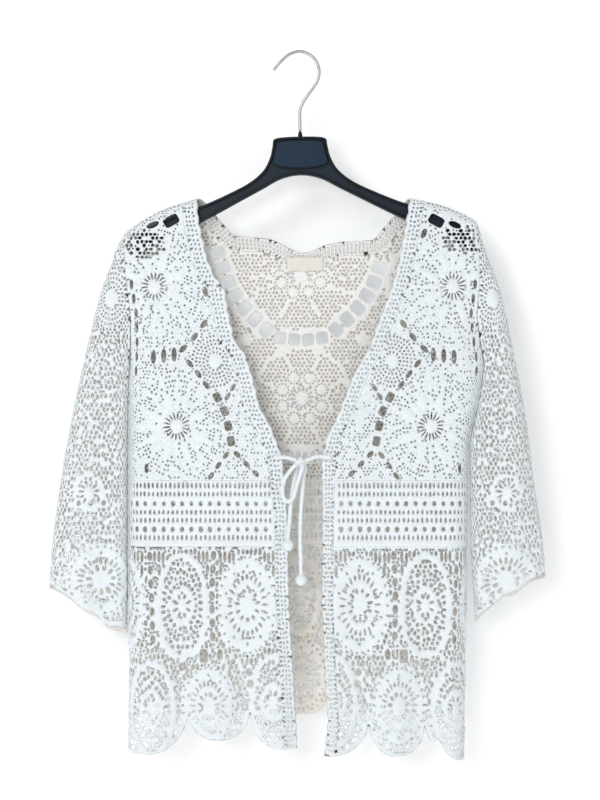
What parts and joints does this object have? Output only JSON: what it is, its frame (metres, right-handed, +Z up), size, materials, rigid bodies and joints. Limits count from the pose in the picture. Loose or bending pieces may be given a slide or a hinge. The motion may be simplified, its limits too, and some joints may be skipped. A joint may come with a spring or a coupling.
{
  "type": "crochet cardigan on a hanger",
  "caption": "Open-front white crochet cardigan with three-quarter sleeves, scalloped peplum hem and a bobble tie, hung on a slim moulded hanger with a wire hook.",
  "frame": {"origin": "the inner top of the hook's crook, where it bears on a rail or peg", "axes": "+Z up along the hanging garment, +X to the viewer's right across the front (the wearer's left), +Y from the front to the back"},
  "size_m": [0.6066, 0.0797, 0.8638],
  "materials": {
    "crochet": "matt white cotton crochet",
    "edging": "matt white cotton crochet, dense",
    "sleeve": "matt white cotton crochet net",
    "tie": "matt white crochet cord",
    "label": "cream woven tab, blank",
    "hanger": "black moulding, fine grain",
    "ferrule": "black moulding",
    "plate": "navy moulding",
    "hook": "nickelled wire"
  },
  "bodies": {
    "root": {"back_peplum": "crochet", "back_waistband": "crochet", "back_yoke": "crochet", "front_edging_left": "edging", "front_edging_right": "edging", "front_peplum_left": "crochet", "front_peplum_right": "crochet", "front_waistband_left": "crochet", "front_waistband_right": "crochet", "front_yoke_left": "crochet", "front_yoke_right": "crochet", "hanger_body": "hanger", "hanger_hook": "hook", "hanger_plate": "plate", "hook_ferrule": "ferrule", "neck_edging_back": "edging", "neck_label": "label", "sleeve_left_back": "sleeve", "sleeve_left_front": "sleeve", "sleeve_right_back": "sleeve", "sleeve_right_front": "sleeve", "tie_bobble_left": "tie", "tie_bobble_right": "tie", "tie_cord_left": "tie", "tie_cord_right": "tie", "tie_knot": "tie", "tie_loop": "tie", "tie_tail_left": "tie", "tie_tail_right": "tie"}
  },
  "joints": []
}
